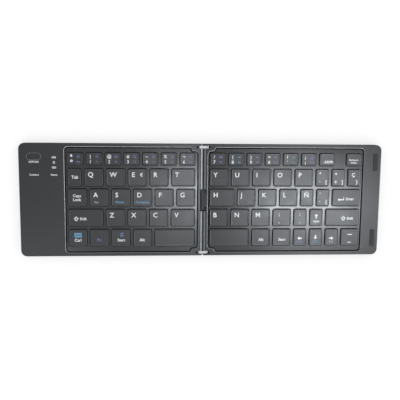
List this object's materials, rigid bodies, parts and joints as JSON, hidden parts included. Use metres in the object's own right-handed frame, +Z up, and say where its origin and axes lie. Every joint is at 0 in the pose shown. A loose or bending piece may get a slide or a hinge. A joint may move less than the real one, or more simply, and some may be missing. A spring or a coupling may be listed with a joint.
{
  "type": "folding keyboard",
  "caption": "Slim keyboard in two equal halves that fold face to face on a double-axis hinge, with sprung flat keys, a power slider and a connect button.",
  "frame": {"origin": "on the resting plane, below the middle of the hinge, with the keyboard open flat", "axes": "+X along the keyboard to the right, +Y to the rear edge, +Z up through the keys"},
  "size_m": [0.305, 0.0952, 0.0084],
  "materials": {
    "left_shell": "fine satin, dark grey",
    "right_shell": "fine satin, dark grey",
    "cover": "fine spark-eroded, near black",
    "web": "satin, dark grey",
    "cap": "satin, dark grey with printed legends",
    "steel": "brushed",
    "silver": "satin silver",
    "rubber": "matt",
    "dome": "translucent grey",
    "white_plastic": "natural",
    "light": "clear white",
    "board": "green solder mask",
    "cell": "foil",
    "cable": "amber film"
  },
  "bodies": {
    "left_half": {"left_top_frame": "left_shell", "left_bottom_cover": "cover", "left_key_web": "web", "left_base_plate": "steel", "left_dome_sheet": "dome", "left_scissors": "white_plastic", "battery": "cell", "main_board": "board", "charging_socket": "steel", "status_lights": "light", "left_feet": "rubber", "left_screws": "steel"},
    "hinge_spine": {"hinge_links": "silver", "hinge_pins": "steel", "cable_cover": "left_shell", "flex_cable": "cable"},
    "right_half": {"right_top_frame": "right_shell", "right_bottom_cover": "cover", "right_key_web": "web", "right_base_plate": "steel", "right_dome_sheet": "dome", "right_scissors": "white_plastic", "bumper_pads": "rubber", "right_feet": "rubber", "right_screws": "steel"},
    "power_switch": {"power_slider": "cover"},
    "connect_switch": {"connect_button": "left_shell"},
    "key_q": {"key_q": "cap"},
    "key_w": {"key_w": "cap"},
    "key_e": {"key_e": "cap"},
    "key_r": {"key_r": "cap"},
    "key_t": {"key_t": "cap"},
    "key_a": {"key_a": "cap"},
    "key_s": {"key_s": "cap"},
    "key_d": {"key_d": "cap"},
    "key_f": {"key_f": "cap"},
    "key_g": {"key_g": "cap"},
    "key_z": {"key_z": "cap"},
    "key_x": {"key_x": "cap"},
    "key_c": {"key_c": "cap"},
    "key_v": {"key_v": "cap"},
    "left_space_key": {"left_space_key": "cap"},
    "left_number_keys_body": {"left_number_keys": "cap"},
    "left_side_keys_body": {"left_side_keys": "cap"},
    "key_y": {"key_y": "cap"},
    "key_u": {"key_u": "cap"},
    "key_i": {"key_i": "cap"},
    "key_o": {"key_o": "cap"},
    "key_p": {"key_p": "cap"},
    "key_h": {"key_h": "cap"},
    "key_j": {"key_j": "cap"},
    "key_k": {"key_k": "cap"},
    "key_l": {"key_l": "cap"},
    "key_ene": {"key_ene": "cap"},
    "key_b": {"key_b": "cap"},
    "key_n": {"key_n": "cap"},
    "key_m": {"key_m": "cap"},
    "right_space_key": {"right_space_key": "cap"},
    "right_number_keys_body": {"right_number_keys": "cap"},
    "right_side_keys_body": {"right_side_keys": "cap"}
  },
  "joints": [
    {"name": "left_fold", "type": "hinge", "parent": "hinge_spine", "child": "left_half", "pos_m": [-0.0028, 0, 0.0056], "axis": [0, 1, 0], "range_deg": [0, 90], "deforming": ["flex_cable"]},
    {"name": "right_fold", "type": "hinge", "parent": "hinge_spine", "child": "right_half", "pos_m": [0.0028, 0, 0.0056], "axis": [0, -1, 0], "range_deg": [0, 90], "deforming": ["flex_cable"]},
    {"name": "power_slide", "type": "slide", "parent": "left_half", "child": "power_switch", "axis": [-1, 0, 0], "range_m": [0, 0.0024]},
    {"name": "connect_press", "type": "slide", "parent": "left_half", "child": "connect_switch", "axis": [0, 0, -1], "range_m": [0, 0.0004], "stiffness_N_per_m": 600},
    {"name": "key_q_press", "type": "slide", "parent": "left_half", "child": "key_q", "axis": [0, 0, -1], "range_m": [0, 0.0014], "stiffness_N_per_m": 400, "deforming": ["left_dome_sheet", "left_scissors"]},
    {"name": "key_w_press", "type": "slide", "parent": "left_half", "child": "key_w", "axis": [0, 0, -1], "range_m": [0, 0.0014], "stiffness_N_per_m": 400},
    {"name": "key_e_press", "type": "slide", "parent": "left_half", "child": "key_e", "axis": [0, 0, -1], "range_m": [0, 0.0014], "stiffness_N_per_m": 400},
    {"name": "key_r_press", "type": "slide", "parent": "left_half", "child": "key_r", "axis": [0, 0, -1], "range_m": [0, 0.0014], "stiffness_N_per_m": 400},
    {"name": "key_t_press", "type": "slide", "parent": "left_half", "child": "key_t", "axis": [0, 0, -1], "range_m": [0, 0.0014], "stiffness_N_per_m": 400},
    {"name": "key_a_press", "type": "slide", "parent": "left_half", "child": "key_a", "axis": [0, 0, -1], "range_m": [0, 0.0014], "stiffness_N_per_m": 400},
    {"name": "key_s_press", "type": "slide", "parent": "left_half", "child": "key_s", "axis": [0, 0, -1], "range_m": [0, 0.0014], "stiffness_N_per_m": 400},
    {"name": "key_d_press", "type": "slide", "parent": "left_half", "child": "key_d", "axis": [0, 0, -1], "range_m": [0, 0.0014], "stiffness_N_per_m": 400},
    {"name": "key_f_press", "type": "slide", "parent": "left_half", "child": "key_f", "axis": [0, 0, -1], "range_m": [0, 0.0014], "stiffness_N_per_m": 400},
    {"name": "key_g_press", "type": "slide", "parent": "left_half", "child": "key_g", "axis": [0, 0, -1], "range_m": [0, 0.0014], "stiffness_N_per_m": 400},
    {"name": "key_z_press", "type": "slide", "parent": "left_half", "child": "key_z", "axis": [0, 0, -1], "range_m": [0, 0.0014], "stiffness_N_per_m": 400},
    {"name": "key_x_press", "type": "slide", "parent": "left_half", "child": "key_x", "axis": [0, 0, -1], "range_m": [0, 0.0014], "stiffness_N_per_m": 400},
    {"name": "key_c_press", "type": "slide", "parent": "left_half", "child": "key_c", "axis": [0, 0, -1], "range_m": [0, 0.0014], "stiffness_N_per_m": 400},
    {"name": "key_v_press", "type": "slide", "parent": "left_half", "child": "key_v", "axis": [0, 0, -1], "range_m": [0, 0.0014], "stiffness_N_per_m": 400},
    {"name": "left_space_key_press", "type": "slide", "parent": "left_half", "child": "left_space_key", "axis": [0, 0, -1], "range_m": [0, 0.0014], "stiffness_N_per_m": 400},
    {"name": "left_number_keys_press", "type": "slide", "parent": "left_half", "child": "left_number_keys_body", "axis": [0, 0, -1], "range_m": [0, 0.0014], "stiffness_N_per_m": 2800},
    {"name": "left_side_keys_press", "type": "slide", "parent": "left_half", "child": "left_side_keys_body", "axis": [0, 0, -1], "range_m": [0, 0.0014], "stiffness_N_per_m": 2800},
    {"name": "key_y_press", "type": "slide", "parent": "right_half", "child": "key_y", "axis": [0, 0, -1], "range_m": [0, 0.0014], "stiffness_N_per_m": 400, "deforming": ["right_dome_sheet", "right_scissors"]},
    {"name": "key_u_press", "type": "slide", "parent": "right_half", "child": "key_u", "axis": [0, 0, -1], "range_m": [0, 0.0014], "stiffness_N_per_m": 400},
    {"name": "key_i_press", "type": "slide", "parent": "right_half", "child": "key_i", "axis": [0, 0, -1], "range_m": [0, 0.0014], "stiffness_N_per_m": 400},
    {"name": "key_o_press", "type": "slide", "parent": "right_half", "child": "key_o", "axis": [0, 0, -1], "range_m": [0, 0.0014], "stiffness_N_per_m": 400},
    {"name": "key_p_press", "type": "slide", "parent": "right_half", "child": "key_p", "axis": [0, 0, -1], "range_m": [0, 0.0014], "stiffness_N_per_m": 400},
    {"name": "key_h_press", "type": "slide", "parent": "right_half", "child": "key_h", "axis": [0, 0, -1], "range_m": [0, 0.0014], "stiffness_N_per_m": 400},
    {"name": "key_j_press", "type": "slide", "parent": "right_half", "child": "key_j", "axis": [0, 0, -1], "range_m": [0, 0.0014], "stiffness_N_per_m": 400},
    {"name": "key_k_press", "type": "slide", "parent": "right_half", "child": "key_k", "axis": [0, 0, -1], "range_m": [0, 0.0014], "stiffness_N_per_m": 400},
    {"name": "key_l_press", "type": "slide", "parent": "right_half", "child": "key_l", "axis": [0, 0, -1], "range_m": [0, 0.0014], "stiffness_N_per_m": 400},
    {"name": "key_ene_press", "type": "slide", "parent": "right_half", "child": "key_ene", "axis": [0, 0, -1], "range_m": [0, 0.0014], "stiffness_N_per_m": 400},
    {"name": "key_b_press", "type": "slide", "parent": "right_half", "child": "key_b", "axis": [0, 0, -1], "range_m": [0, 0.0014], "stiffness_N_per_m": 400},
    {"name": "key_n_press", "type": "slide", "parent": "right_half", "child": "key_n", "axis": [0, 0, -1], "range_m": [0, 0.0014], "stiffness_N_per_m": 400},
    {"name": "key_m_press", "type": "slide", "parent": "right_half", "child": "key_m", "axis": [0, 0, -1], "range_m": [0, 0.0014], "stiffness_N_per_m": 400},
    {"name": "right_space_key_press", "type": "slide", "parent": "right_half", "child": "right_space_key", "axis": [0, 0, -1], "range_m": [0, 0.0014], "stiffness_N_per_m": 400},
    {"name": "right_number_keys_press", "type": "slide", "parent": "right_half", "child": "right_number_keys_body", "axis": [0, 0, -1], "range_m": [0, 0.0014], "stiffness_N_per_m": 3200},
    {"name": "right_side_keys_press", "type": "slide", "parent": "right_half", "child": "right_side_keys_body", "axis": [0, 0, -1], "range_m": [0, 0.0014], "stiffness_N_per_m": 6000}
  ]
}
